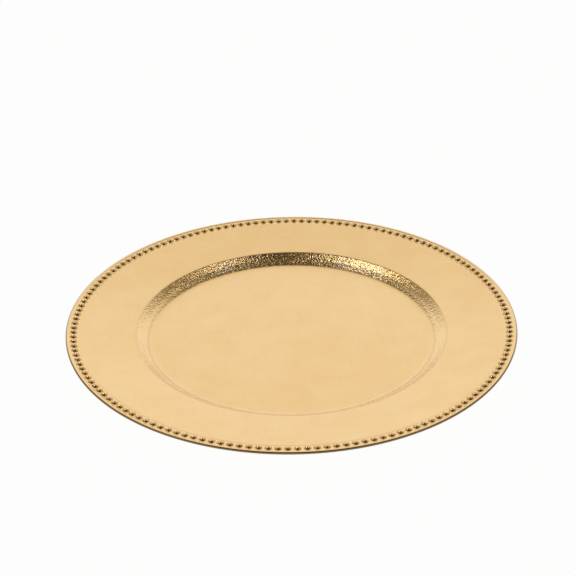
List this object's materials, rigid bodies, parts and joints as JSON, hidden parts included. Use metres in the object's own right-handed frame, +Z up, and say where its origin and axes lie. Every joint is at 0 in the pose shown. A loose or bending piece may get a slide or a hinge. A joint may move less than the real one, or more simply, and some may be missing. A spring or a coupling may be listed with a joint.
{
  "type": "charger plate",
  "caption": "Round charger plate with a dished well, a wide sloping rim, a border of small domes near a round-nosed edge and a foot ring, leafed in gold.",
  "frame": {"origin": "centre of the foot ring's underside, where the plate stands on the table", "axes": "+Z up along the plate's axis; X and Y are level and alike, because the plate is round"},
  "size_m": [0.3299, 0.33, 0.02],
  "materials": {
    "blank": "moulded gold-coloured plastic with a satin metallic coat underneath",
    "leaf": "metal leaf under clear lacquer, fine hairlines on the flats, crinkled in the well's wall"
  },
  "bodies": {
    "root": {"plate_body": "blank", "gold_leaf": "leaf"}
  },
  "joints": []
}
